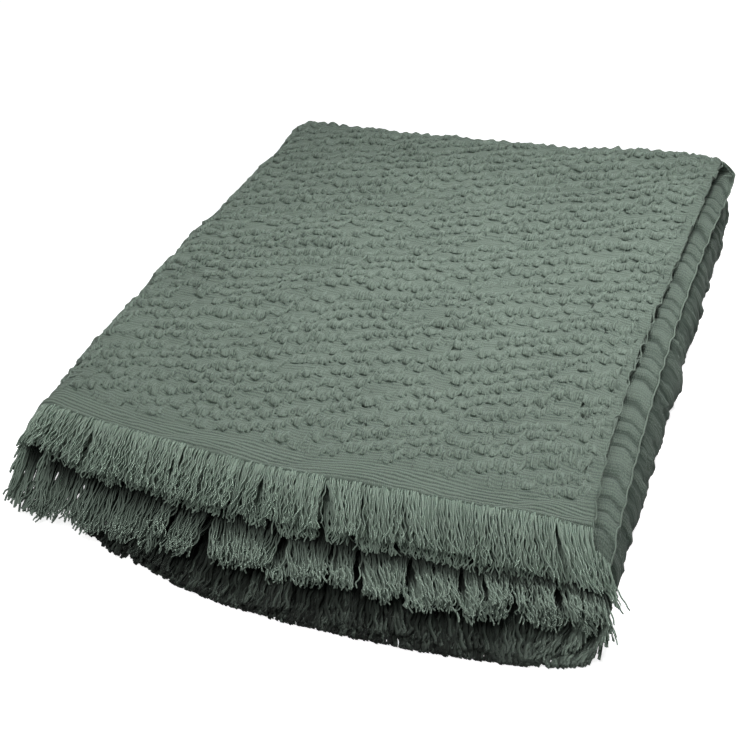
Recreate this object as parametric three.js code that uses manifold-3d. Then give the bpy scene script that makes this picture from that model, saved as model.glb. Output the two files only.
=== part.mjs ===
// A sage green jacquard throw with a fringe at both ends.
// It is doubled end to end, so both fringed ends lie at the front, then folded in thirds across its width.
import * as THREE from 'three';
import Module from 'manifold-3d';

// Driving dimensions, in millimetres. X runs along the front edge, Y from the front to the back.
const cloth = { thickness: 5, layerPitch: 13, bendRadius: 16 };
const folded = { width: 440, depth: 660, rightBendReach: 12, bottomPanelInset: 55 };
const selvedge = { frontReach: 8, backReach: 14, bow: 12, bowPower: 0.65 };
const fringe = { locks: 110, topLength: 30, floorLength: 62, uneven: 0.14, stripDepth: 4, clearance: 0.3 };
const lock = { rootWidth: 7.4, tipWidth: 4.2, tipShare: 0.8, rootInset: 0.8, rootSink: 1.5, sway: 0.5 };
const lockMesh = { segments: 3, sides: 3 };

// How the stack settles. The lower layers creep forward and lean to the right, most at the front.
// The hem and the left side bow outwards, and the front margin sinks under the fringe.
const settled = { leftCreep: 0, rightCreep: 40, frontLean: 10, backLean: -3, hemBow: 26, leftBow: 8 };
const sinking = { shoulder: 6, reach: 31, power: 1.6 };
const fanning = { left: 0.32, right: 0.16, margin: 90 };

// How far each corner of the stack lies from a true block, and the share by which its height differs.
const corners = [
  { side: -1, end: 0, moveX: -7, moveY: 20, lift: -0.015 },
  { side: 1, end: 0, moveX: 14, moveY: -13, lift: -0.19 },
  { side: -1, end: 1, moveX: -9, moveY: -8, lift: -0.09 },
  { side: 1, end: 1, moveX: 2, moveY: 1, lift: 0.015 },
];

// Sides run from -1 to 1 across the top panel, and a little further out on the bends.
const sideLimit = 1.2;

// Slow waves that leave the top uneven: share of the height, waves across and along, and phase in turns.
const waves = [
  { share: 0.018, across: 1.3, along: 0.7, phase: 0.1 },
  { share: 0.013, across: 0.6, along: 2.1, phase: 0.45 },
  { share: 0.009, across: 2.4, along: 1.6, phase: 0.8 },
];

// Steps of the cloth's grid in each stretch of its section, and from the front hem to the back fold.
const steps = { panel: 8, bend: 8, backFold: 6 };
const rowShares = [0, 0.012, 0.03, 0.07, 0.14, 0.24, 0.36, 0.5, 0.64, 0.78, 0.9, 1];

// Origin of the part: the middle of its underside.
const middle = { x: 12.65, y: 270.31 };

const yarn = new THREE.MeshStandardMaterial({ color: 0x6c7f70, roughness: 0.95, metalness: 0 });

// Heights of the three double panels and the runs of the section between its bends.
const outerRadius = cloth.bendRadius + cloth.layerPitch / 2 + cloth.thickness / 2;
const bottomHeight = (cloth.layerPitch + cloth.thickness) / 2;
const middleHeight = bottomHeight + 2 * cloth.bendRadius;
const topHeight = middleHeight + 2 * cloth.bendRadius;
const stackHeight = topHeight + (cloth.layerPitch + cloth.thickness) / 2;
const rightEdge = folded.width / 2;
const leftCentre = -folded.width / 2 + outerRadius;
const rightCentre = rightEdge + folded.rightBendReach - outerRadius;
const bendRun = Math.PI * cloth.bendRadius;
const sectionRuns = {
  top: rightEdge - leftCentre,
  middle: rightCentre - leftCentre,
  bottom: rightCentre + folded.width / 2 - folded.bottomPanelInset,
};
const leftBendStart = sectionRuns.top;
const leftBendEnd = leftBendStart + bendRun;
const rightBendStart = leftBendEnd + sectionRuns.middle;
const rightBendEnd = rightBendStart + bendRun;
const sectionEnd = rightBendEnd + sectionRuns.bottom;

const clamp = THREE.MathUtils.clamp;
const lerp = THREE.MathUtils.lerp;
const smooth = THREE.MathUtils.smoothstep;

// A repeatable scatter between -1 and 1 for item number index.
function scatter(index, salt) {
  const value = Math.sin(index * 12.9898 + salt * 78.233) * 43758.5453;
  return 2 * (value - Math.floor(value)) - 1;
}

// The folded section's middle line: a point and the direction from the under layer to the upper layer.
// It runs left along the top panel, back along the middle one and left again along the bottom one.
function section(run) {
  if (run < leftBendStart) {
    return { x: rightEdge - run, z: topHeight, normalX: 0, normalZ: 1 };
  }
  if (run < leftBendEnd) {
    const turn = (run - leftBendStart) / cloth.bendRadius;
    const centre = (topHeight + middleHeight) / 2;
    return {
      x: leftCentre - cloth.bendRadius * Math.sin(turn),
      z: centre + cloth.bendRadius * Math.cos(turn),
      normalX: -Math.sin(turn),
      normalZ: Math.cos(turn),
    };
  }
  if (run < rightBendStart) {
    return { x: leftCentre + run - leftBendEnd, z: middleHeight, normalX: 0, normalZ: -1 };
  }
  if (run < rightBendEnd) {
    const turn = (run - rightBendStart) / cloth.bendRadius;
    const centre = (middleHeight + bottomHeight) / 2;
    return {
      x: rightCentre + cloth.bendRadius * Math.sin(turn),
      z: centre + cloth.bendRadius * Math.cos(turn),
      normalX: -Math.sin(turn),
      normalZ: -Math.cos(turn),
    };
  }
  return { x: rightCentre - run + rightBendEnd, z: bottomHeight, normalX: 0, normalZ: 1 };
}

// The settled place of a point of the true block. Heights only scale, so the underside stays flat at zero.
function settle(x, y, z) {
  const side = clamp(x / rightEdge, -sideLimit, sideLimit);
  const end = clamp(y / folded.depth, 0, 1);
  const height = z / stackHeight;
  let moveX = 0;
  let moveY = 0;
  let lift = 0;
  for (const corner of corners) {
    const weight = ((1 + corner.side * side) / 2) * (corner.end ? end : 1 - end);
    moveX += weight * corner.moveX;
    moveY += weight * corner.moveY;
    lift += weight * corner.lift;
  }
  for (const wave of waves) {
    lift += wave.share * Math.sin(2 * Math.PI * ((side * wave.across) / 2 + end * wave.along + wave.phase));
  }
  const creep = lerp(settled.leftCreep, settled.rightCreep, (1 + side) / 2) * (1 - height) * (1 - end) ** 2;
  const hemBow = settled.hemBow * Math.max(0, 1 - side ** 2) * (1 - end) ** 3;
  const leftBow = settled.leftBow * Math.sin(Math.PI * end) * (1 - side) / 2;
  const lean = (1 - height) * lerp(settled.frontLean, settled.backLean, end);
  const forward = Math.max(0, sinking.shoulder - y + creep);
  const sink = 1 / (1 + (forward / sinking.reach) ** sinking.power);
  const leftEdgeShare = 1 - smooth(x + folded.width / 2, 0, fanning.margin);
  const rightEdgeShare = smooth(x - rightEdge + fanning.margin, 0, fanning.margin);
  const loose = Math.max(0, -y);
  const fan = loose * (fanning.right * rightEdgeShare - fanning.left * leftEdgeShare);
  return new THREE.Vector3(
    x + moveX + lean - leftBow + fan - middle.x,
    y + moveY - creep - hemBow - middle.y,
    z * sink * (1 + lift),
  );
}

// A point of the folded cloth, from its run along the section, its height over the section's middle line
// and its distance from the front hem.
function place(run, over, y) {
  const at = section(run);
  return settle(at.x + over * at.normalX, y, at.z + over * at.normalZ);
}

// Where a layer's selvedges lie along the section.
// At the right the upper layer's selvedge lies inside the under layer's.
function selvedges(over, y) {
  const end = clamp(y / folded.depth, 0, 1);
  const upper = over / cloth.layerPitch + 0.5;
  const bow = selvedge.bow * Math.sin(Math.PI * end ** selvedge.bowPower);
  const slip = lerp(-lerp(selvedge.frontReach, selvedge.backReach, end), bow, upper);
  return { start: slip, finish: sectionEnd + slip };
}

// Stations of the section from one selvedge to the other for a layer at height over.
function stations(over, y, perPanel, perBend) {
  const ends = selvedges(over, y);
  const stretches = [
    [ends.start, leftBendStart, perPanel],
    [leftBendStart, leftBendEnd, perBend],
    [leftBendEnd, rightBendStart, perPanel],
    [rightBendStart, rightBendEnd, perBend],
    [rightBendEnd, ends.finish, perPanel],
  ];
  const runs = [ends.start];
  for (const [from, to, count] of stretches) {
    for (let step = 1; step <= count; step += 1) {
      runs.push(lerp(from, to, step / count));
    }
  }
  return runs;
}

// The doubled cloth seen from its selvedge: the upper layer, the fold at the back and the under layer.
// offset is the distance of the skin from the sheet's middle.
function hairpin(offset) {
  const half = cloth.layerPitch / 2;
  const foldStart = folded.depth - half;
  const upper = rowShares.map((share) => ({ over: half + offset, y: share * foldStart }));
  const fold = [];
  for (let step = 1; step < steps.backFold; step += 1) {
    const turn = (Math.PI * step) / steps.backFold;
    const radius = half + offset;
    fold.push({ over: radius * Math.cos(turn), y: foldStart + radius * Math.sin(turn) });
  }
  const under = rowShares.map((share) => ({ over: -half - offset, y: share * foldStart })).reverse();
  return [...upper, ...fold, ...under];
}

// A closed mesh from two like grids of points, the outer skin and the inner one, joined around their rims.
function closedSheet(outer, inner) {
  const rows = outer.length;
  const columns = outer[0].length;
  const points = [...outer.flat(), ...inner.flat()];
  const outerAt = (row, column) => row * columns + column;
  const innerAt = (row, column) => rows * columns + row * columns + column;
  const triangles = [];
  const quad = (a, b, c, d) => triangles.push(a, b, c, a, c, d);
  for (let row = 0; row < rows - 1; row += 1) {
    for (let column = 0; column < columns - 1; column += 1) {
      quad(
        outerAt(row, column), outerAt(row + 1, column),
        outerAt(row + 1, column + 1), outerAt(row, column + 1),
      );
      quad(
        innerAt(row, column), innerAt(row, column + 1),
        innerAt(row + 1, column + 1), innerAt(row + 1, column),
      );
    }
  }
  for (let row = 0; row < rows - 1; row += 1) {
    const last = columns - 1;
    quad(outerAt(row, 0), innerAt(row, 0), innerAt(row + 1, 0), outerAt(row + 1, 0));
    quad(outerAt(row, last), outerAt(row + 1, last), innerAt(row + 1, last), innerAt(row, last));
  }
  for (let column = 0; column < columns - 1; column += 1) {
    const last = rows - 1;
    quad(outerAt(0, column), outerAt(0, column + 1), innerAt(0, column + 1), innerAt(0, column));
    quad(
      outerAt(last, column), innerAt(last, column),
      innerAt(last, column + 1), outerAt(last, column + 1),
    );
  }
  return { points, triangles };
}

function toGeometry({ points, triangles }) {
  const geometry = new THREE.BufferGeometry().setFromPoints(points);
  geometry.setIndex(triangles);
  geometry.computeVertexNormals();
  return geometry;
}

// The cloth: one sheet along the hairpin, carried around the folded section.
function throwCloth() {
  const skin = (offset) => {
    const rows = hairpin(offset);
    const middleRows = hairpin(0);
    return rows.map(({ over, y }, index) => {
      const runs = stations(middleRows[index].over, middleRows[index].y, steps.panel, steps.bend);
      return runs.map((run) => place(run, over, y));
    });
  };
  const half = cloth.thickness / 2;
  return closedSheet(skin(half), skin(-half));
}

// The strip that carries one end's fringe, just clear of the hem.
function fringeStrip(over) {
  const half = cloth.thickness / 2;
  const back = -fringe.clearance;
  const front = -fringe.clearance - fringe.stripDepth;
  const runs = stations(over, 0, steps.panel, steps.bend);
  const skin = (offset) => [back, front].map((y) => runs.map((run) => place(run, over + offset, y)));
  return closedSheet(skin(-half), skin(half));
}

// One lock: a three-sided taper that leaves the strip forwards, with its flat side down.
function fringeLock(over, index) {
  const ends = selvedges(over, 0);
  const pitch = (ends.finish - ends.start) / fringe.locks;
  const root = ends.start + pitch * (index + 0.5);
  const rootHeight = section(root).z / stackHeight;
  const length = lerp(fringe.floorLength, fringe.topLength, rootHeight)
    * (1 + fringe.uneven * scatter(index, over));
  const sway = (pitch - lock.rootWidth) * lock.sway * scatter(index, over + 3);
  const base = over - cloth.thickness / 2;
  const start = -fringe.clearance - fringe.stripDepth + lock.rootSink;
  const points = [];
  for (let step = 0; step <= lockMesh.segments; step += 1) {
    const share = step / lockMesh.segments;
    const run = root + sway * share * share;
    const inset = step === 0 ? lock.rootInset : 0;
    const half = lerp(lock.rootWidth, lock.tipWidth, share) / 2;
    const low = base + inset;
    const top = base + cloth.thickness * lerp(1, lock.tipShare, share) - inset;
    const y = start - length * share;
    points.push(place(run + half, low, y), place(run - half, low, y), place(run, top, y));
  }
  const triangles = [0, 2, 1];
  for (let step = 0; step < lockMesh.segments; step += 1) {
    for (let corner = 0; corner < lockMesh.sides; corner += 1) {
      const a = step * lockMesh.sides + corner;
      const b = step * lockMesh.sides + ((corner + 1) % lockMesh.sides);
      triangles.push(a, b, b + lockMesh.sides, a, b + lockMesh.sides, a + lockMesh.sides);
    }
  }
  const tip = lockMesh.segments * lockMesh.sides;
  triangles.push(tip, tip + 1, tip + 2);
  return { points, triangles };
}

const wasm = await Module();
wasm.setup();

function toSolid({ points, triangles }) {
  const vertProperties = new Float32Array(points.flatMap((point) => point.toArray()));
  const triVerts = new Uint32Array(triangles);
  return new wasm.Manifold(new wasm.Mesh({ numProp: 3, vertProperties, triVerts }));
}

function fromSolid(solid) {
  const { vertProperties, triVerts, numProp } = solid.getMesh();
  const points = [];
  for (let at = 0; at < vertProperties.length; at += numProp) {
    points.push(new THREE.Vector3(vertProperties[at], vertProperties[at + 1], vertProperties[at + 2]));
  }
  return { points, triangles: [...triVerts] };
}

// One end's fringe: its strip and locks fused at the roots.
function fringeEnd(over) {
  let solid = toSolid(fringeStrip(over));
  for (let index = 0; index < fringe.locks; index += 1) {
    solid = solid.add(toSolid(fringeLock(over, index)));
  }
  return fromSolid(solid);
}

function named(name, form) {
  const mesh = new THREE.Mesh(toGeometry(form), yarn);
  mesh.name = name;
  return mesh;
}

const jacquardThrow = new THREE.Group();
jacquardThrow.add(named('throw_cloth', throwCloth()));
jacquardThrow.add(named('fringe_upper_end', fringeEnd(cloth.layerPitch / 2)));
jacquardThrow.add(named('fringe_under_end', fringeEnd(-cloth.layerPitch / 2)));

export default jacquardThrow;
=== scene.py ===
import math
import bmesh
import bpy
import numpy as np
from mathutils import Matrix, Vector


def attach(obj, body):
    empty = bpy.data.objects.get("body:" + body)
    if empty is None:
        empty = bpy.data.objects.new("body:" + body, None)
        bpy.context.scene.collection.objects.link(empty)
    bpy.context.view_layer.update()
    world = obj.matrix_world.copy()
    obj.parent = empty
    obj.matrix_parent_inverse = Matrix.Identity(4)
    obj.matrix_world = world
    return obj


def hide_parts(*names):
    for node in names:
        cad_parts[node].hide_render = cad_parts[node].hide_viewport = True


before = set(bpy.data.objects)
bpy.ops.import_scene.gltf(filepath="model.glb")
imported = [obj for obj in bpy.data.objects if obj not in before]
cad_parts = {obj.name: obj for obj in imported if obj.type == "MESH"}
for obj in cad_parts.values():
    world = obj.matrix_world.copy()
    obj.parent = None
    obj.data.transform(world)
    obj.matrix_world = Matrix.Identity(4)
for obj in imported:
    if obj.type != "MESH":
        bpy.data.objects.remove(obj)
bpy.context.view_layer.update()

dice = np.random.default_rng(23)
scene = bpy.context.scene
join = np.concatenate
fullTurn = 6.28  # radians, near enough for phases

# fold of the stack, mm, same sizes as the solids
fold = {"width": 440.0, "depth": 660.0, "radius": 16.0, "pitch": 13.0, "skin": 2.5,
        "rightReach": 12.0, "bottomInset": 55.0}
slide = {"front": 12.0, "back": 14.0, "bow": 13.0, "underBow": 9.0, "power": 0.65}  # slip of the selvedges
settled = {"rightCreep": 40.0, "frontLean": 10.0, "backLean": -3.0, "hemBow": 26.0, "leftBow": 8.0}
sinking = {"shoulder": 2.5, "reach": 31.0, "power": 1.6}
fanning = {"left": 0.32, "right": 0.16, "margin": 90.0}
# corners of the stack: left or right, front or back, moved in x and in y, share of height
corners = ((-1, 0, -7, 5, -0.015), (1, 0, 14, -16, -0.19), (-1, 1, -9, -8, -0.09), (1, 1, 2, 1, 0.055))
# long waves of its height: share, number across, number along, phase
waves = ((0.018, 1.3, 0.7, 0.1), (0.013, 0.6, 2.1, 0.45), (0.009, 2.4, 1.6, 0.8))
middle = (12.65, 270.31)  # of the settled stack, moved to the origin

halfPitch = fold["pitch"] / 2
halfWidth = fold["width"] / 2
bottomZ = halfPitch + fold["skin"]
middleZ = bottomZ + 2 * fold["radius"]
topZ = middleZ + 2 * fold["radius"]
stackZ = topZ + bottomZ
outerRadius = fold["radius"] + halfPitch + fold["skin"]
leftCentre = outerRadius - halfWidth
rightCentre = halfWidth + fold["rightReach"] - outerRadius
bendRun = math.pi * fold["radius"]
leftStart = halfWidth - leftCentre  # bends, across the cloth from its first selvedge
leftEnd = leftStart + bendRun
rightStart = leftEnd + rightCentre - leftCentre
rightEnd = rightStart + bendRun
runEnd = rightEnd + rightCentre + halfWidth - fold["bottomInset"]
loopStart = fold["depth"] - halfPitch  # back loop, along the cloth from its upper hem
loopEnd = loopStart + math.pi * halfPitch
lengthEnd = loopEnd + loopStart


def smooth(a, b, x):
    t = np.clip((x - a) / (b - a), 0, 1)
    return t * t * (3 - 2 * t)


def mix(a, b, t):
    return a + (b - a) * t


def section(run):  # Z fold of the doubled cloth, seen from the front
    r, flat = fold["radius"], 0 * run
    leftTurn = np.clip((run - leftStart) / r, 0, math.pi)
    rightTurn = np.clip((run - rightStart) / r, 0, math.pi)
    parts = (run < leftStart, run < leftEnd, run < rightStart, run < rightEnd)
    x = np.select(parts, (halfWidth - run, leftCentre - r * np.sin(leftTurn), leftCentre + run - leftEnd,
                          rightCentre + r * np.sin(rightTurn)), rightCentre - run + rightEnd)
    z = np.select(parts, (flat + topZ, (topZ + middleZ) / 2 + r * np.cos(leftTurn), flat + middleZ,
                          (middleZ + bottomZ) / 2 + r * np.cos(rightTurn)), flat + bottomZ)
    nx = np.select(parts, (flat, -np.sin(leftTurn), flat, -np.sin(rightTurn)), flat)
    nz = np.select(parts, (flat + 1, np.cos(leftTurn), flat - 1, -np.cos(rightTurn)), flat + 1)
    return x, z, nx, nz


def settle(x, y, z):  # the stack as it lies, with its own corners, bows and sunken front
    side = np.clip(x / halfWidth, -1.2, 1.2)
    end = np.clip(y / fold["depth"], 0, 1)
    high = z / stackZ
    moveX = moveY = lift = 0
    for right, back, dx, dy, taller in corners:
        share = (1 + right * side) / 2 * (end if back else 1 - end)
        moveX, moveY, lift = moveX + dx * share, moveY + dy * share, lift + taller * share
    for share, across, along, phase in waves:
        lift = lift + share * np.sin(2 * math.pi * (side * across / 2 + end * along + phase))
    creep = settled["rightCreep"] * (1 + side) / 2 * (1 - high) * (1 - end) ** 2
    hemBow = settled["hemBow"] * np.maximum(0, 1 - side ** 2) * (1 - end) ** 3
    leftBow = settled["leftBow"] * np.sin(math.pi * end) * (1 - side) / 2
    lean = (1 - high) * mix(settled["frontLean"], settled["backLean"], end)
    forward = np.maximum(0, sinking["shoulder"] - y + creep)
    sink = 1 / (1 + (forward / sinking["reach"]) ** sinking["power"])
    inner = halfWidth - fanning["margin"]
    fan = np.maximum(0, -y) * (fanning["right"] * smooth(inner, halfWidth, x)
                               - fanning["left"] * (1 - smooth(-halfWidth, -inner, x)))
    return np.stack((x + moveX + lean - leftBow + fan - middle[0], y + moveY - creep - hemBow - middle[1],
                     z * sink * (1 + lift)), -1)


# first selvedge: drooping, wavering and turned down, mm, for the lower and the upper layer
sideEdge = {"droopReach": 42.0, "droop": (2.5, 6.5), "waverReach": 32.0, "waver": (0.45, 1.0),
            "turnReach": 10.0, "turnDown": 6.0}


def onCloth(base, v, lift):  # point on the cloth: base across its width, v along its length, lift outwards
    turn = np.clip((v - loopStart) / halfPitch, 0, math.pi)
    reach = halfPitch + lift
    over = reach * np.cos(turn)
    y = np.where(v < loopStart, v, np.where(v > loopEnd, lengthEnd - v, loopStart + reach * np.sin(turn)))
    end = np.clip(y / fold["depth"], 0, 1)
    upper = np.clip(over / fold["pitch"] + 0.5, 0, 1)
    bow = slide["bow"] * np.sin(math.pi * end ** slide["power"])
    underBow = slide["underBow"] * np.sin(math.pi * end)
    slip = mix(underBow - mix(slide["front"], slide["back"], end), bow, upper)
    firstPanel = np.clip(1 - base / leftStart, 0, 1)
    lastPanel = np.clip((base - rightEnd) / (runEnd - rightEnd), 0, 1)
    run = base + slip * (firstPanel + lastPanel)
    droop = (1 - smooth(0, sideEdge["droopReach"], base)) * (1 - 0.8 * smooth(0.6, 1, end))
    edge = (1 - smooth(0, sideEdge["waverReach"], base)) * mix(*sideEdge["waver"], upper)
    upDown = 1.5 * np.sin(v / 4.3 + 1.4 * np.sin(v / 33)) + 0.4 * np.sin(v / 2.6 + 2 * np.sin(v / 19))
    inOut = 1.2 * np.sin(v / 5.3 + 1.7 * np.sin(v / 41)) + 0.4 * np.sin(v / 2.8)
    turned = (1 - smooth(0, sideEdge["turnReach"], base)) * (1 - upper) * (v > loopEnd)
    over = over - droop * mix(*sideEdge["droop"], upper) + edge * upDown - sideEdge["turnDown"] * turned
    x, z, nx, nz = section(run + edge * inOut)
    return settle(x + nx * over, y, z + nz * over)


def clothArc(base, v):  # true distance across the face of the cloth, mm
    wide = math.pi * outerRadius  # round the outside of a bend
    tight = 2 * bendRun - wide
    top, mid, bottom = leftStart, rightStart - leftEnd, runEnd - rightEnd
    knots = (0, leftStart, leftEnd, rightStart, rightEnd, runEnd)
    upper = np.interp(base, knots, np.cumsum((0, top, wide, mid, tight, bottom)))
    under = np.interp(base, knots, np.cumsum((0, top, tight, mid, wide, bottom)))
    return mix(upper, under, smooth(loopStart, loopEnd, v))


# tufts of warp floats: chains of small flaps that step back to the right, mm
tuft = {"across": 11.8, "along": 19.6, "rise": 0.26, "coverage": 1600.0, "jitter": 3.2, "sideways": 0.28,
        "wander": 1.6, "wanderPitch": 0.55, "uneven": 0.25, "missing": 0.02, "sizes": (0.3, 1.35),
        "run": 0.5, "runSpread": 0.1, "runs": (0.32, 0.7), "drop": 2.2, "dropSpread": 1.0,
        "lifts": (3.5, 9.0), "links": (-0.1, 0.3), "height": 1.25, "puff": 2.6, "puffStart": 3.0,
        "puffReach": 12.0, "pocket": 0.9, "pocketAhead": 0.7, "pocketWidth": 1.35,
        "hemBand": 27.0, "hemFade": 4.0, "sideBand": 4.0, "sideFade": 3.0}
tuftCols = int(tuft["coverage"] / tuft["across"]) + 4
tuftChains = int(lengthEnd / tuft["along"] + tuftCols * tuft["rise"]) + 6
cells = (tuftCols, tuftChains)
column = np.arange(tuftCols)[:, None]
tuftMove = dice.normal(0, tuft["jitter"], cells)
tuftShift = dice.uniform(0, 1, tuftChains)
sideways = dice.uniform(-tuft["sideways"], tuft["sideways"], cells)
tuftEdge = (column - 1.5 + tuftShift + sideways) * tuft["across"]
strayPhase = np.cumsum(dice.normal(0.5, 0.5, tuftChains))[None, :]
tuftMove += tuft["wander"] * np.sin(column * tuft["wanderPitch"] + strayPhase)
tuftSize = np.clip(1 + dice.normal(0, tuft["uneven"], cells), *tuft["sizes"])
tuftSize *= dice.random(cells) > tuft["missing"]
tuftRun = np.clip(dice.normal(tuft["run"], tuft["runSpread"], cells), *tuft["runs"])
tuftDrop = dice.normal(tuft["drop"], tuft["dropSpread"], cells)
tuftLift = dice.uniform(*tuft["lifts"], cells)
tuftLink = dice.uniform(*tuft["links"], cells).clip(0)


def tuftShown(u, v):  # no tufts in the end bands or on the selvedges
    ends = smooth(tuft["hemBand"] - tuft["hemFade"], tuft["hemBand"] + tuft["hemFade"],
                  np.minimum(v, lengthEnd - v))
    return ends * smooth(tuft["sideBand"] - tuft["sideFade"], tuft["sideBand"] + tuft["sideFade"], u)


def chainEnd(chain, cell):  # right end of a flap, where the chain has its next one
    u = tuftEdge[cell, chain]
    return u, (chain - tuft["rise"] * u / tuft["across"]) * tuft["along"] + tuftMove[cell, chain]


def chainLine(chain, cell, t):  # front edge of a flap, t from 0 left to 1 right, and how far it stands up
    leftU, left = chainEnd(chain, cell + 1)
    rightU, right = chainEnd(chain, cell)
    right = right + tuftLift[cell, chain]
    begin = left + tuftLift[cell + 1, chain] * (1 - smooth(0, 0.12, t))
    run = tuftRun[cell, chain]
    low = left - tuftDrop[cell, chain]
    climb = np.clip((t - run) / (1 - run), 0, 1) ** 1.15
    v = np.where(t < run, mix(begin, low, smooth(0.08, run, t)), mix(low, right, climb))
    stand = mix(tuftLink[cell + 1, chain], tuftSize[cell, chain], smooth(0, 0.16, t))
    stand = mix(stand, tuftLink[cell, chain], smooth(0.88, 1, t))
    u = mix(leftU, rightU, t)
    return u, v, stand * tuftShown(u, v)


def relief(u, v):  # soft rise under each flap and dip in front of it, and how deep in a crease a point lies, which is painted as shade
    height, creaseShade = np.zeros_like(u), np.zeros_like(u)
    home = np.floor(v / tuft["along"] + tuft["rise"] * u / tuft["across"]).astype(int)
    for near in (-1, 0, 1, 2):
        chain = np.clip(home + near, 0, tuftChains - 1)
        cell = np.clip(np.floor(u / tuft["across"] + 1.5 - tuftShift[chain]), 1, tuftCols - 3).astype(int)
        cell = cell + (u > tuftEdge[cell + 1, chain]) - (u < tuftEdge[cell, chain])
        leftU, rightU = tuftEdge[cell + 1, chain], tuftEdge[cell, chain]
        lineV, stand = chainLine(chain, cell, np.clip((leftU - u) / (leftU - rightU), 0, 1))[1:]
        behind = v - lineV
        rising = 1 - np.exp(-np.maximum(behind, 0) / tuft["puffStart"])
        puff = rising * np.exp(-(behind / tuft["puffReach"]) ** 2)
        pocket = np.exp(-((behind + tuft["pocketAhead"]) / tuft["pocketWidth"]) ** 2)
        height = height + stand * (tuft["puff"] * puff - tuft["pocket"] * pocket)
        creaseShade = np.maximum(creaseShade, stand * pocket)
    return height, creaseShade


# soft troughs on the top, mm from the left and from the back: start, end, depth, half width
troughs = ((10, 80, 83, 80, 2.4, 9), (57, 60, 140, 58, 2.0, 8), (213, 97, 333, 107, 2.6, 9),
           (7, 263, 87, 233, 2.6, 10), (83, 313, 133, 312, 2.2, 9), (187, 403, 287, 423, 2.4, 10),
           (180, 487, 213, 486, 1.8, 8), (300, 250, 380, 232, 1.8, 9), (60, 470, 130, 455, 1.8, 9),
           (330, 520, 400, 500, 1.6, 9), (120, 170, 210, 158, 1.8, 9), (260, 330, 340, 318, 1.6, 9))
unevenness = {"swell": 0.42, "ripple": 0.18}
# lean, wave length across, wave length along, phase
swells = dice.uniform((-1, 30, 25, 0), (1, 75, 60, fullTurn), (14, 4))
ripples = dice.uniform((-1, 4, 2.2, 0), (1, 12, 4.5, fullTurn), (10, 4)) * dice.choice((-1, 1), (10, 4))


def ground(u, v):  # unevenness of the cloth under its tufts
    fromLeft, fromBack = fold["width"] - u, fold["depth"] - v
    out = np.zeros_like(u)
    for x0, y0, x1, y1, depth, half in troughs:
        dx, dy = x1 - x0, y1 - y0
        t = np.clip(((fromLeft - x0) * dx + (fromBack - y0) * dy) / (dx * dx + dy * dy), 0, 1)
        far = np.hypot(fromLeft - x0 - t * dx, fromBack - y0 - t * dy)
        out = out - depth * np.exp(-(far / half) ** 2) * (0.55 + 0.45 * np.sin(math.pi * (0.15 + 0.7 * t)))
    for lean, waveU, waveV, phase in swells:
        slant = v / waveV * 2 * (1 + 0.3 * lean)
        out = out + unevenness["swell"] * np.sin(u / waveU * 2 + slant + phase + lean * u / 40)
    for lean, waveU, waveV, phase in ripples:
        bent = 1.5 * np.sin(u / 31 * lean + v / 23)
        out = out + unevenness["ripple"] * np.sin(u / waveU + v / waveV + phase + bent)
    return out


print("cloth grid")
sheetWay = {"thickness": 1.7, "stepU": 3.2, "stepV": 2.2, "bendSteps": 28, "loopSteps": 10,
            "restSteps": (9, 24, 9), "frontSteps": 290,
            "coarse": (0, 0.006, 0.015, 0.03, 0.05, 0.08, 0.12, 0.18, 0.25, 0.33, 0.42, 0.52, 0.62, 0.72,
                       0.8, 0.87, 0.93, 0.97, 1)}
fineU = join((np.linspace(0, leftStart, int(leftStart / sheetWay["stepU"])),
              np.linspace(leftStart, leftEnd, sheetWay["bendSteps"])[1:]))
coarseU = np.unique(join((fineU[:18], fineU[18::5], fineU[-1:])))  # inside, closer where the reverse shows
underU = np.unique(join((fineU[:4], fineU[8::10], fineU[-1:])))  # hidden underside of the top panel
restEnds = (leftEnd, rightStart, rightEnd, runEnd)
restU = join([np.linspace(a, b, n)[1:] for a, b, n in zip(restEnds, restEnds[1:], sheetWay["restSteps"])])
fineV = np.linspace(0, loopStart, int(loopStart / sheetWay["stepV"]))
coarseV = loopStart * np.array(sheetWay["coarse"])
loopV = np.linspace(loopStart, loopEnd, sheetWay["loopSteps"])[1:]
frontV = np.linspace(loopEnd, lengthEnd, sheetWay["frontSteps"])[1:]
backV = join((loopV, frontV))
points, faces = [], []


def patch(us, vs, skin):  # grid on one side of the sheet, 1 for its face and 0 for its reverse
    start = sum(map(len, points))
    uu, vv = np.meshgrid(us, vs, indexing="ij")
    points.append(np.stack((uu.ravel(), vv.ravel(), np.full(uu.size, skin)), -1))
    ids = start + np.arange(uu.size).reshape(uu.shape)
    quads = np.stack((ids[:-1, :-1], ids[1:, :-1], ids[1:, 1:], ids[:-1, 1:]), -1).reshape(-1, 4)
    faces.extend(map(tuple, quads.tolist()))
    return ids


def stitch(lineA, keyA, lineB, keyB):  # strip of triangles between two edges with different steps
    i = j = 0
    while i < len(lineA) - 1 or j < len(lineB) - 1:
        stepA = j == len(lineB) - 1 or (i < len(lineA) - 1 and keyA[i + 1] <= keyB[j + 1])
        if stepA:
            faces.append((int(lineA[i]), int(lineA[i + 1]), int(lineB[j])))
            i += 1
        else:
            faces.append((int(lineA[i]), int(lineB[j + 1]), int(lineB[j])))
            j += 1


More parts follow.
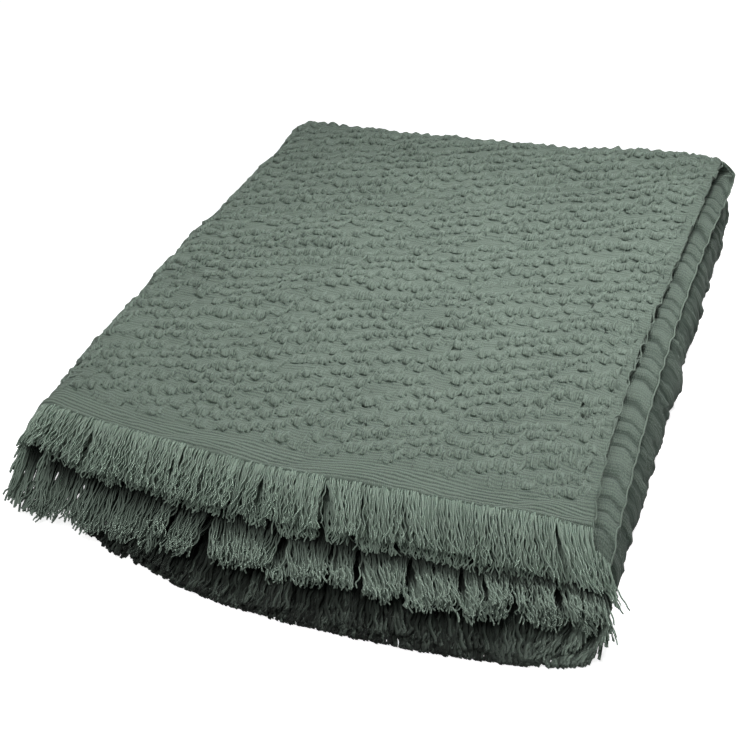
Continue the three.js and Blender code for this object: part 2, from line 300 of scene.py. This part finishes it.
topSkin = patch(fineU, join((fineV, loopV)), 1)
midSkin = patch(restU, coarseV, 1)
underSkin = patch(underU, frontV, 1)
rightSkin = patch(restU, backV, 1)
topRows, loopRows = len(fineV), len(loopV)
stitch(topSkin[-1, :topRows], fineV, midSkin[0], coarseV)
stitch(topSkin[-1, topRows:], loopV, rightSkin[0, :loopRows], loopV)
stitch(topSkin[:, -1], fineU, underSkin[:, 0], underU)
stitch(underSkin[-1], frontV, rightSkin[0, loopRows:], frontV)
stitch(midSkin[:, -1], restU, rightSkin[:, 0], restU)
for quad in ((topSkin[-1, topRows - 1], midSkin[0, -1], rightSkin[0, 0], topSkin[-1, topRows]),
             (topSkin[-1, -1], rightSkin[0, loopRows - 1], rightSkin[0, loopRows], underSkin[-1, 0])):
    faces.append(tuple(map(int, quad)))
innerU = join((coarseU, restU))
innerV = join((coarseV, backV))
inner = patch(innerU, innerV, 0)
stitch(join((topSkin[:, 0], midSkin[:, 0])), join((fineU, restU)), inner[:, 0], innerU)
stitch(join((underSkin[:, -1], rightSkin[:, -1])), join((underU, restU)), inner[:, -1], innerU)
stitch(join((topSkin[0], underSkin[0])), join((fineV, backV)), inner[0], innerV)
stitch(join((midSkin[-1], rightSkin[-1])), innerV, inner[-1], innerV)

# puckers on the right bend, on the reverse beside the selvedge and on the back loop, mm
pucker = {"bendPitch": 21.0, "bend": 1.8, "reversePitch": 27.0, "reverse": 2.0, "reverseReach": (34, 70),
          "loop": 2.6}


def onRightBend(base, short):
    end = rightEnd - short
    return smooth(rightStart, rightStart + 8, base) * (1 - smooth(end - 12, end, base))


def shownFace(base, v):  # 1 where the face of the cloth shows: top, bends and back loops
    top = (1 - smooth(leftEnd - 12, leftEnd, base)) * (v <= loopStart)
    return top + ((v > loopStart) & (v < loopEnd)) + onRightBend(base, 0) * (v > loopEnd)


def puckers(base, v, pitch):  # rounded puffs along the cloth with a sharp crease between them
    wave = np.sin(math.pi * v / pitch + 1.1 * np.sin(v / 17) + 0.05 * base + 0.4 * np.sin(base / 6))
    return (1 - np.exp(-(wave / 0.42) ** 2)) * (0.8 + 0.3 * np.sin(v / 7.3))


def clothLift(base, v):  # how far the face stands out, and the shade painted into its creases and over the right bend
    u = clothArc(base, v)
    tall, creaseShade = relief(u, v)
    shown = shownFace(base, v)
    flatBack = np.where((v < loopStart) | (v > loopEnd), 1.0, 0.35)
    atLoop = smooth(loopStart - 14, loopStart, v) * (1 - smooth(loopEnd, loopEnd + 4, v))
    lumps = np.abs(np.sin(u * math.pi / tuft["across"] + 0.9 * np.sin(u / 23))) ** 0.7 - 0.4
    bend = onRightBend(base, 2) * smooth(loopEnd, loopEnd + 9, v)
    puffs = puckers(base, v, pucker["bendPitch"])
    lift = fold["skin"] + shown * (tall + ground(u, v) * flatBack)
    lift = lift + pucker["loop"] * atLoop * lumps + pucker["bend"] * bend * (puffs - 0.6)
    # painted shade: tuft creases, and the right bend darkened, most in its pucker creases
    return lift, 0.48 * creaseShade * shown + bend * (0.5 + 1.1 * np.clip(1 - 1.2 * puffs, 0, 1))


base, v, skin = join(points).T
isFace = skin > 0.5
lift, facePaintedShade = clothLift(base, v)
nearEdge = (1 - smooth(*pucker["reverseReach"], base)) * (v > loopEnd)  # strip of the reverse that shows
puffs = puckers(base, v, pucker["reversePitch"])
inside = fold["skin"] - sheetWay["thickness"] - nearEdge * pucker["reverse"] * (puffs - 0.5)
# painted shade on the reverse: a little all over, more in the pucker creases beside the selvedge
insidePaintedShade = 0.1 + 0.9 * nearEdge * np.clip(0.8 - 1.2 * puffs, 0, 1)
co = onCloth(base, v, np.where(isFace, lift, inside))
co[:, 2] = np.maximum(co[:, 2], 0)


class Wire:  # one socket of a shader tree, with sums written as sums
    def __init__(self, tree, socket=None):
        self.tree, self.socket = tree, socket

    def node(self, kind, settings=None, out=0, **values):
        made = self.tree.nodes.new(kind)
        for key, value in (settings or {}).items():
            setattr(made, key, value)
        for key, value in values.items():
            numbered = key[0] == "i" and key[1:].isdigit()
            spot = made.inputs[int(key[1:]) if numbered else key]
            if isinstance(value, Wire):
                self.tree.links.new(value.socket, spot)
            else:
                spot.default_value = value
        return Wire(self.tree, made.outputs[out])

    def sum(self, operation, a, b=0.0):
        return self.node("ShaderNodeMath", {"operation": operation}, i0=a, i1=b)

    def __add__(self, other):
        return self.sum("ADD", self, other)

    def __radd__(self, other):
        return self.sum("ADD", other, self)

    def __sub__(self, other):
        return self.sum("SUBTRACT", self, other)

    def __rsub__(self, other):
        return self.sum("SUBTRACT", other, self)

    def __mul__(self, other):
        return self.sum("MULTIPLY", self, other)

    def __rmul__(self, other):
        return self.sum("MULTIPLY", other, self)

    def sin(self):
        return self.sum("SINE", self)

    def clamp(self):
        return self.node("ShaderNodeClamp", Value=self)

    def noise(self, scale, detail):
        return self.node("ShaderNodeTexNoise", Vector=self, Scale=scale, Detail=detail)

    def attribute(self, name):
        return self.node("ShaderNodeAttribute", {"attribute_name": name}, 2)

    def blend(self, dark, light):  # colour between two by this number
        return self.node("ShaderNodeMix", {"data_type": "RGBA"}, 2, i0=self, i6=dark, i7=light)

    def bump(self, strength, distance):
        return self.node("ShaderNodeBump", Height=self, Strength=strength, Distance=distance)

    def feed(self, socket):
        self.tree.links.new(self.socket, socket)


def newMaterial(name, roughness, sheen):
    material = bpy.data.materials.new(name)
    material.use_nodes = True
    inputs = material.node_tree.nodes["Principled BSDF"].inputs
    inputs["Roughness"].default_value = roughness
    inputs["Specular IOR Level"].default_value = 0.2
    inputs["Sheen Weight"].default_value = sheen
    inputs["Sheen Roughness"].default_value = 0.6
    inputs["Sheen Tint"].default_value = (0.75, 0.85, 0.76, 1)
    return material, inputs


print("materials")
# the yarn's pale colour is painted lighter than the cloth's, for light on the front of the fringe; the near
# black is the colour that painted shade darkens the yarn towards
dyeAndPaintedLight = {"deep": (0.060, 0.084, 0.068, 1), "pale": (0.251, 0.317, 0.265, 1),
       "paleYarnPaintedLit": (0.412, 0.520, 0.435, 1), "shade": (0.004, 0.005, 0.004, 1)}
# ribs and threads in radians a mm, noises in spots a metre
weave = {"rib": 1.68, "thread": 4.2, "waver": 3.0, "slub": 160.0, "patches": 14.0, "fibre": 900.0,
         "strokeAcross": 0.8, "strokeAlong": 0.1, "reverseFrom": 680.0}

clothMaterial, inputs = newMaterial("clothWeave", 0.92, 0.12)
maker = Wire(clothMaterial.node_tree)
uv = maker.node("ShaderNodeUVMap", {"uv_map": "weave"})
across = uv.node("ShaderNodeSeparateXYZ", None, 0, Vector=uv) * 1000  # mm on the flat cloth
along = uv.node("ShaderNodeSeparateXYZ", None, 1, Vector=uv) * 1000
slub = uv.noise(weave["slub"], 3.0)
patches = uv.noise(weave["patches"], 3.0)
fibre = uv.noise(weave["fibre"], 2.0)
rib = (along * weave["rib"] + slub * weave["waver"]).sin() * 0.5 + 0.5
thread = (across * weave["thread"] + slub * weave["waver"]).sin() * 0.5 + 0.5
paintedCreaseShade = maker.attribute("creaseShade")
floatsAndHighlight = maker.attribute("floatsAndHighlight")
strokeAt = uv.node("ShaderNodeCombineXYZ", X=across * weave["strokeAcross"], Y=along * weave["strokeAlong"])
yarns = ((strokeAt.noise(1.0, 1.0) - 0.5) * 3.5 + 0.5).clamp()
band = ((along - tuft["hemBand"]) * -0.15).clamp()
reverse = ((along - weave["reverseFrom"]) * 0.1).clamp()
ribbed = rib * (1 - floatsAndHighlight * 0.7) * (0.55 + band * 0.75 - reverse * 0.22)
ribbed = ribbed + 0.2 - band * 0.32 + reverse * 0.11
# painted shade: tuft creases, pucker creases and the right bend are darkened in the cloth colour
tone = 0.12 + ribbed * 0.56 + thread * 0.10 + patches * 0.40 + (fibre - 0.5) * 1.25 - paintedCreaseShade * 0.85
# float strokes, and a painted highlight on the tuft tops where the floats lie
tone = (tone + floatsAndHighlight * (yarns * 0.75 - 0.13)).clamp()
tone.blend(dyeAndPaintedLight["deep"], dyeAndPaintedLight["pale"]).feed(inputs["Base Color"])
surface = ribbed * 0.6 + thread * 0.25 + fibre * 0.5 + floatsAndHighlight * yarns * 0.3
surface.bump(1.0, 0.001).feed(inputs["Normal"])

yarnMaterial, inputs = newMaterial("fringeYarn", 0.95, 0.05)
maker = Wire(yarnMaterial.node_tree)
tint = maker.attribute("tint")
fibre = maker.node("ShaderNodeTexCoord", None, 3).noise(1100.0, 2.0)
# painted highlight: the yarn's pale end is lighter than the cloth's, standing for light on the front-facing
# fringe
paint = (0.78 + tint * 0.35 + (fibre - 0.5) * 0.5).clamp().blend(dyeAndPaintedLight["deep"], dyeAndPaintedLight["paleYarnPaintedLit"])
# painted shade: the yarn colour is darkened towards near black by the shade attribute
maker.attribute("shade").clamp().blend(dyeAndPaintedLight["shade"], paint).feed(inputs["Base Color"])
fibre.bump(0.4, 0.0005).feed(inputs["Normal"])


def putIn(name, data):
    thing = bpy.data.objects.new(name, data)
    scene.collection.objects.link(thing)
    return thing


def keep(mesh, name, values):  # number for each point, read by the material
    mesh.attributes.new(name, "FLOAT", "POINT").data.foreach_set("value", np.asarray(values, np.float32))


def clothPiece(name, co, faces, flat, creaseShade, floatsAndHighlight):  # co: points as they lie, flat: on the flat cloth, mm
    mesh = bpy.data.meshes.new(name)
    mesh.from_pydata((co / 1000).tolist(), [], faces)
    bm = bmesh.new()
    bm.from_mesh(mesh)
    bmesh.ops.recalc_face_normals(bm, faces=bm.faces)
    bm.to_mesh(mesh)
    bm.free()
    mesh.shade_smooth()
    mesh.materials.append(clothMaterial)
    keep(mesh, "creaseShade", creaseShade)
    keep(mesh, "floatsAndHighlight", floatsAndHighlight)
    uvLayer = mesh.uv_layers.new(name="weave")
    corner = np.empty(len(mesh.loops), np.int32)
    mesh.loops.foreach_get("vertex_index", corner)
    uvLayer.data.foreach_set("uv", (flat / 1000)[corner].astype(np.float32).ravel())
    print(name, len(mesh.polygons), "faces")
    return putIn(name, mesh)


print("cloth sheet")
throwSheet = clothPiece("throwSheet", co, faces, np.stack((clothArc(base, v), v), -1),
                        np.where(isFace, facePaintedShade, insidePaintedShade), np.zeros(len(co)))


def yarnTree():  # lines in, round yarn out
    tree = bpy.data.node_groups.new("yarnAlongLines", "GeometryNodeTree")
    for name, way, kind in (("Lines", "INPUT", "Geometry"), ("Sides", "INPUT", "Int"),
                            ("Yarn", "INPUT", "Material"), ("Geometry", "OUTPUT", "Geometry")):
        tree.interface.new_socket(name, in_out=way, socket_type="NodeSocket" + kind)
    start, end = tree.nodes.new("NodeGroupInput"), tree.nodes.new("NodeGroupOutput")
    curve = tree.nodes.new("GeometryNodeMeshToCurve")
    radius = tree.nodes.new("GeometryNodeInputNamedAttribute")
    radius.data_type = "FLOAT"
    radius.inputs["Name"].default_value = "yarnRadius"
    ring = tree.nodes.new("GeometryNodeCurvePrimitiveCircle")
    ring.inputs["Radius"].default_value = 1.0
    tube = tree.nodes.new("GeometryNodeCurveToMesh")
    tube.inputs["Fill Caps"].default_value = True
    soft = tree.nodes.new("GeometryNodeSetShadeSmooth")
    real = tree.nodes.new("GeometryNodeRealizeInstances")
    paint = tree.nodes.new("GeometryNodeSetMaterial")
    for source, output, target, into in (
            (start, "Lines", curve, "Mesh"), (radius, "Attribute", tube, "Scale"),
            (start, "Sides", ring, "Resolution"), (curve, "Curve", tube, "Curve"),
            (ring, "Curve", tube, "Profile Curve"), (tube, "Mesh", soft, "Geometry"),
            (soft, "Geometry", real, "Geometry"), (real, "Geometry", paint, "Geometry"),
            (start, "Yarn", paint, "Material"), (paint, "Geometry", end, "Geometry")):
        tree.links.new(source.outputs[output], target.inputs[into])
    return tree


yarnNodes = yarnTree()


def yarnPiece(name, lines, radii, tints, sides, shade):
    # lines: strands x points x 3 in mm, radii the same without the last, tints one a strand
    strands, steps = lines.shape[:2]
    ids = np.arange(strands * steps).reshape(strands, steps)
    edges = np.stack((ids[:, :-1], ids[:, 1:]), -1).reshape(-1, 2)
    mesh = bpy.data.meshes.new(name)
    mesh.from_pydata((lines.reshape(-1, 3) / 1000).tolist(), edges.tolist(), [])
    keep(mesh, "yarnRadius", (radii / 1000).ravel())
    keep(mesh, "tint", np.repeat(tints, steps))
    keep(mesh, "shade", np.broadcast_to(shade, (strands, steps)).ravel())
    piece = putIn(name, mesh)
    modifier = piece.modifiers.new("yarn", "NODES")
    modifier.node_group = yarnNodes
    wanted = {"Sides": sides, "Yarn": yarnMaterial}
    for item in yarnNodes.interface.items_tree:
        if item.name in wanted and item.in_out == "INPUT":
            modifier[item.identifier] = wanted[item.name]
    done = piece.evaluated_get(bpy.context.evaluated_depsgraph_get())
    piece.data = bpy.data.meshes.new_from_object(done)
    piece.modifiers.remove(modifier)
    print(name, len(piece.data.polygons), "faces")
    return piece


print("tufts")
# points round a flap, from under its lip to its back: mm behind the lip, height, mm sunk, painted shade
# under the lip, floats with a painted highlight on the tuft top
flap = {"behind": (0.45, 0.0, -0.35, 0.3, 3.0, 7.5, 12.0, 16.5), "tall": (0, 0.35, 0.75, 1, 1, 0.7, 0.3, 0),
        "sunk": (1.2, 0, 0, 0, 0, 0, 0.15, 0.9), "dark": (1, 1, 0.4, 0, 0, 0, 0, 0),
        "floatsAndHighlight": (0, 0, 0.3, 0.8, 1, 1, 0.3, 0)}
flapSteps = {"climb": (0.7, 0.36, 0.1), "run": (0.93, 0.72, 0.46, 0.2, 0.0)}  # shares, from the right
flapClear = {"front": 24, "back": 7, "right": 6, "left": 12}  # mm without flaps along the top's edges
baseKnots = np.linspace(0, runEnd, 4000)


def arcToBase(u):
    return np.interp(u, clothArc(baseKnots, np.zeros_like(baseKnots)), baseKnots)


def flapPiece(name):  # strip along each chain: crisp lip at the front, long soft back
    cell, chain = np.arange(1, tuftCols - 2)[None, :, None], np.arange(tuftChains)[:, None, None]
    run = tuftRun[cell, chain]
    t = join((run + (1 - run) * np.array(flapSteps["climb"]), run * np.array(flapSteps["run"])), -1)
    u, v, stand = (part.reshape(tuftChains, -1) for part in chainLine(chain, cell, t))
    baseAt = arcToBase(u)
    used = (v > flapClear["front"]) & (v < loopStart - flapClear["back"])
    used &= (baseAt > flapClear["right"]) & (baseAt < leftEnd - flapClear["left"])
    ids = np.cumsum(used).reshape(used.shape) - 1
    # dark is painted shade under the lip; floats also carry a painted highlight on the tuft top
    behind, tall, sunk, dark, floatsAndHighlight = (np.array(row) for row in flap.values())
    stand = stand[used][:, None]
    v = v[used][:, None] + behind
    baseAt = baseAt[used][:, None] + 0 * behind
    arc = clothArc(baseAt, v)
    lift = fold["skin"] + ground(arc, v) + relief(arc, v)[0]
    co = onCloth(baseAt, v, lift + tuft["height"] * stand ** 0.8 * tall - sunk).reshape(-1, 3)
    co[:, 2] = np.maximum(co[:, 2], 0.1)
    before, after = np.zeros_like(used), np.zeros_like(used)
    before[:, 1:] = used[:, :-1]
    after[:, :-1] = used[:, 1:]
    ring = len(behind)
    step = np.arange(ring)
    around = (step + 1) % ring
    first = ids[used & after][:, None] * ring
    quads = np.stack((first + step, first + ring + step, first + ring + around, first + around), -1)
    ends = join((ids[used & ~after], ids[used & ~before]))[:, None] * ring + step
    return clothPiece(name, co, quads.reshape(-1, 4).tolist() + ends.tolist(),
                      np.stack((arc, v), -1).reshape(-1, 2), (stand * dark).ravel(),
                      (np.clip(stand, 0, 1) * floatsAndHighlight).ravel())


topTufts = flapPiece("topTufts")

print("fringe")
# the tier shades are painted shade, darkening the yarn where the lower tiers lie in the stack's shade
fringe = {"seed": 40, "yarns": 1980, "steps": 17, "sides": 3, "even": 0.7, "inset": 0.8, "rootIn": 1.5,
          "rootLift": 1.9, "depth": 2.4, "lock": 15.0, "lockSizes": (0.5, 1.7), "lockLong": 0.7,
          "midReach": 48.0, "floorReach": 70.0, "topReach": 28.5, "topDrop": 27.5, "midTip": 20.0,
          "floorTip": 1.2, "lockTip": 2.0, "fanRight": 0.28, "lockSway": 0.08, "yarnSway": 0.05,
          "lockClump": 0.18, "crimp": 0.85, "slow": 1.6, "lockTurn": 0.6, "lockThick": 1.8,
          "radius": 0.8, "tipRadius": 0.66, "topTier": (0.62, 0.86), "floorTier": (0.15, 0.45),
          "midShade": (0.08, 0.72), "floorShade": (0.06, 0.5), "topShade": (0.95, 1.0)}
# by tier: middle, lowest on the floor, hanging at the top
tiers = {"uneven": (0.055, 0.00825, 0.033), "leftLong": (0.03, -0.48, 0.0), "fan": (-0.1, -0.04, -0.22),
         "fanLeft": (0.05, 0.0, -0.12), "fanRight": (-0.02, -0.34, 0.22), "lockSway": (1.0, 0.3, 1.0),
         "yarnSway": (1.0, 0.4, 1.0), "clump": (0.55, 0.55, 0.15), "gather": (1.0, 0.0, 1.0),
         "curl": (5.0, 1.5, 5.0)}
# along the front, mm from its middle, where the fringe changes
spans = {"leftLong": (-200, -40), "leftTop": (-225, -120), "rightTop": (90, 220), "leftTip": (-200, -60),
         "leftSide": (-215, -110), "fan": (-halfWidth, 120), "fanLeft": (-halfWidth, -190),
         "fanRight": (150, 222), "rightShade": (130, 215)}


def fringePiece(name, under):
    n, s = fringe["yarns"], np.linspace(0, 1, fringe["steps"])[None, :]
    dice = np.random.default_rng(fringe["seed"] + under)
    even = mix(np.sort(dice.uniform(0, 1, n)), np.linspace(0, 1, n), fringe["even"])
    arc = clothArc(baseKnots, np.full_like(baseKnots, lengthEnd if under else 0))
    rootArc = mix(fringe["inset"], arc[-1] - fringe["inset"], even)
    root = np.interp(rootArc, arc, baseKnots)  # as close on the bends as on the flats
    edges = np.cumsum(dice.uniform(*fringe["lockSizes"], int(runEnd / fringe["lock"]) * 2) * fringe["lock"])
    lockId = np.searchsorted(edges, root)
    lockMiddle = (edges[lockId] + np.where(lockId > 0, edges[np.maximum(lockId - 1, 0)], 0)) / 2
    locks = lockId.max() + 1
    x, z, nx, nz = (part[:, None] for part in section(root))
    high = (z + nz * halfPitch * (-1 if under else 1)) / stackZ
    hanging = smooth(*fringe["topTier"], high)  # top tier
    low = 1 - smooth(*fringe["floorTier"], high)  # lowest tier
    bent = np.abs(nx)
    leftBend = bent * (x < 0)

    def perLock(spread):
        return dice.normal(0, spread, locks)[lockId][:, None]

    def perYarn(least, most):
        return dice.uniform(least, most, (n, 1))

    def byTier(mid, floor, top):
        return mix(mix(mid, floor, low), top, hanging)

    def past(key):
        return smooth(*spans[key], x)

    across = perYarn(-1, 1) * fringe["depth"]
    hem = np.full(n, lengthEnd - fringe["rootIn"] if under else fringe["rootIn"])
    start = onCloth(root, hem, fringe["rootLift"] + across[:, 0] * 0.2)
    side = onCloth(root + 0.5, hem, 0.4) - onCloth(root - 0.5, hem, 0.4)
    side = side / np.linalg.norm(side, axis=1)[:, None]  # along the hem

    uneven = byTier(*tiers["uneven"])
    long = 1 + perLock(fringe["lockLong"]) * uneven + dice.normal(0, 1, (n, 1)) * uneven
    long = long + byTier(*tiers["leftLong"]) * (1 - past("leftLong"))
    long = long * (1 - 0.05 * leftBend)
    shorter = 0.2 * (1 - past("leftTop")) + (0.34 if under else 0) - 0.12 * past("rightTop")
    long = long - hanging * shorter
    floorReach = fringe["floorReach"] - 10 * np.maximum(0, x / halfWidth) ** 2
    reach = byTier(fringe["midReach"], floorReach, fringe["topReach"]) * long
    midTip = fringe["midTip"] - 8 * (1 - past("leftTip"))
    tipZ = mix(midTip, fringe["floorTip"], low) + perLock(fringe["lockTip"])
    drop = mix(np.maximum(start[:, 2:3] - tipZ, 0.3), fringe["topDrop"] * long, hanging)
    forward = reach * mix(s, s ** 0.85, hanging)
    down = drop * mix(s ** 0.9, s ** 1.25, hanging)

    fan = mix(byTier(*tiers["fan"]), fringe["fanRight"], past("fan"))
    fan = fan + byTier(*tiers["fanLeft"]) * (1 - past("fanLeft"))
    fan = fan + byTier(*tiers["fanRight"]) * past("fanRight")
    leftSide = (1 - past("leftSide")) * (1 - hanging)
    lockSway = perLock(fringe["lockSway"]) * byTier(*tiers["lockSway"])
    lockSway = lockSway * (1 - 0.6 * leftSide) * (1 - 0.8 * bent)
    yarnSway = dice.normal(0, fringe["yarnSway"], (n, 1)) * byTier(*tiers["yarnSway"])
    sway = (fan + lockSway + yarnSway) * np.hypot(reach, drop) * s ** 1.3
    clump = np.clip(byTier(*tiers["clump"]) + perLock(fringe["lockClump"]), 0.03, 0.9)
    clump = clump * byTier(*tiers["gather"]) * (1 - 0.8 * bent) * (1 - 0.7 * leftSide)
    gather = (lockMiddle - root)[:, None] * clump * s ** 1.1

    turns, phase = perYarn(2.2, 4.6), perYarn(0, fullTurn)
    swing = fullTurn * turns * s + phase
    crimp = fringe["crimp"] * (0.25 + s) * perYarn(0.4, 1.7)
    slow = fringe["slow"] * s * perYarn(0.2, 1.4)
    slow = slow * np.sin(fullTurn * perYarn(0.4, 1.3) * s + perYarn(0, fullTurn))
    curl = smooth(0.7, 1.0, s) * perYarn(0, 1) * byTier(*tiers["curl"])
    curlTurn = perYarn(-3.2, 3.2) + perLock(fringe["lockTurn"])
    along = gather + slow + crimp * np.sin(swing) + curl * np.sin(curlTurn * s)
    thick = across * (0.4 + 1.3 * s) + crimp * np.cos(swing) + perLock(fringe["lockThick"]) * s
    thick = thick + curl * 0.6 * np.cos(curlTurn)

    lines = start[:, None, :] + side[:, None, :] * along[..., None]
    lines[..., 0] += sway
    lines[..., 1] -= forward + thick * mix(0.15, 0.8, hanging * s)
    lines[..., 2] += thick * mix(0.9, 0.35, hanging * s) - down
    radii = mix(fringe["radius"], fringe["tipRadius"], s ** 1.5) * perYarn(0.8, 1.2)
    radii = radii * (1 + low * mix(0.6, 1.4, s)) * (1 + 0.5 * leftBend)
    lines[..., 2] = np.maximum(lines[..., 2], radii + 0.15)
    midShade = mix(*fringe["midShade"], smooth(0.3, 0.72, s))  # painted shade: the middle tier is darkened near its roots, deep in the stack's shade
    # painted shade on the floor tier: near black with a few lighter strands, painted lighter towards the
    # right
    deepShade = 0.005 + 0.18 * perYarn(0, 1) ** 3
    floorShade = mix(deepShade, perYarn(*fringe["floorShade"]), past("rightShade"))
    # the top tier gets a little painted shade near its hem
    shade = byTier(midShade, floorShade, mix(*fringe["topShade"], s))
    return yarnPiece(name, lines, radii, dice.uniform(0.1, 1, n), fringe["sides"], shade)


upperFringe = fringePiece("upperFringe", False)
underFringe = fringePiece("underFringe", True)

print("edge cords")
cord = {"radius": 0.62, "selvedge": 0.8, "twist": 5.0, "ply": 0.5, "lift": 0.3, "inset": 1.2, "points": 760,
        "sides": 4, "tint": 0.2, "shade": 0.6}


def hemCord(under):  # two plies twisted round each other along the hem
    along = np.linspace(0.5, runEnd - 0.5, cord["points"])
    plies = []
    for ply in (0, math.pi):
        turn = along / cord["twist"] * 2 * math.pi + ply
        inset = cord["inset"] + cord["ply"] * np.cos(turn)
        lift = fold["skin"] + cord["lift"] + cord["ply"] * np.sin(turn)
        plies.append(onCloth(along, lengthEnd - inset if under else inset, lift))
    return np.stack(plies)


def selvedge(upper, under):  # thicker last warp ends along a side, on the edge of the sheet itself
    edge = join((co[upper], co[under]))
    far = join(([0], np.cumsum(np.linalg.norm(np.diff(edge, axis=0), axis=1))))
    steps = np.linspace(0, far[-1], cord["points"])
    return np.stack([np.interp(steps, far, edge[:, i]) for i in range(3)], -1)[None]


backRow = len(coarseV)
cordLines = join((hemCord(False), hemCord(True), selvedge(topSkin[0], inner[0, backRow:]),
                  selvedge(inner[-1, :backRow], inner[-1, backRow:])))
cordRadii = np.repeat((cord["radius"],) * 4 + (cord["selvedge"],) * 2, cord["points"]).reshape(6, -1)
cordLines[..., 2] = np.maximum(cordLines[..., 2], cordRadii + 0.1)
edgeCords = yarnPiece("edgeCords", cordLines, cordRadii, np.full(6, cord["tint"]), cord["sides"],
                      cord["shade"])

print("floor, light, camera")
floorMesh = bpy.data.meshes.new("floor")
floorMesh.from_pydata([(-6, -6, 0), (6, -6, 0), (6, 6, 0), (-6, 6, 0)], [], [(0, 1, 2, 3)])
floor = putIn("floor", floorMesh)
floorMaterial, inputs = newMaterial("paleFloor", 0.8, 0.0)
inputs["Base Color"].default_value = (0.9, 0.9, 0.9, 1)
inputs["Emission Color"].default_value = (1, 1, 1, 1)
inputs["Emission Strength"].default_value = 0.8
floorMesh.materials.append(floorMaterial)
floor.visible_diffuse = False

# camera: mm and degrees, focal length in pixels of a picture 750 wide
look = {"target": (-22.3 - middle[0], 266.3 - middle[1], 0.0), "azimuth": 17.2, "elevation": 28.0,
        "distance": 1828.0, "focal": 2046.0, "picture": 750, "sensor": 36}
az, el = math.radians(look["azimuth"]), math.radians(look["elevation"])
away = Vector((math.sin(az) * math.cos(el), -math.cos(az) * math.cos(el), math.sin(el)))
camera = putIn("camera", bpy.data.cameras.new("camera"))
camera.location = (Vector(look["target"]) + away * look["distance"]) / 1000
camera.rotation_euler = away.to_track_quat("Z", "Y").to_euler()
camera.data.lens = look["focal"] / look["picture"] * look["sensor"]
camera.data.sensor_width = look["sensor"]
camera.data.clip_end = 50
scene.camera = camera


def softLight(name, place, aim, size, power, spread):
    lamp = bpy.data.lights.new(name, "AREA")
    lamp.shape = "SQUARE"
    lamp.size = size
    lamp.energy = power
    lamp.spread = math.radians(spread)
    thing = putIn(name, lamp)
    thing.location = place
    thing.rotation_euler = (Vector(place) - Vector(aim)).to_track_quat("Z", "Y").to_euler()


softLight("keyLight", (0.45, 0.75, 1.75), (0.12, 0.06, 0.07), 0.6, 1.95, 40)
softLight("fillLight", (-0.35, -1.5, 1.9), (0, -0.1, 0), 1.2, 17, 180)
world = bpy.data.worlds.new("studio")
world.use_nodes = True
world.node_tree.nodes["Background"].inputs["Color"].default_value = (1, 1, 1, 1)
world.node_tree.nodes["Background"].inputs["Strength"].default_value = 0.17
scene.world = world
scene.view_settings.view_transform = "Standard"

print("frame")
pieces = (throwSheet, topTufts, upperFringe, underFringe, edgeCords)
for piece in pieces:
    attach(piece, "root")
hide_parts("throw_cloth")
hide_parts("fringe_upper_end")
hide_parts("fringe_under_end")
runEnd / 1000
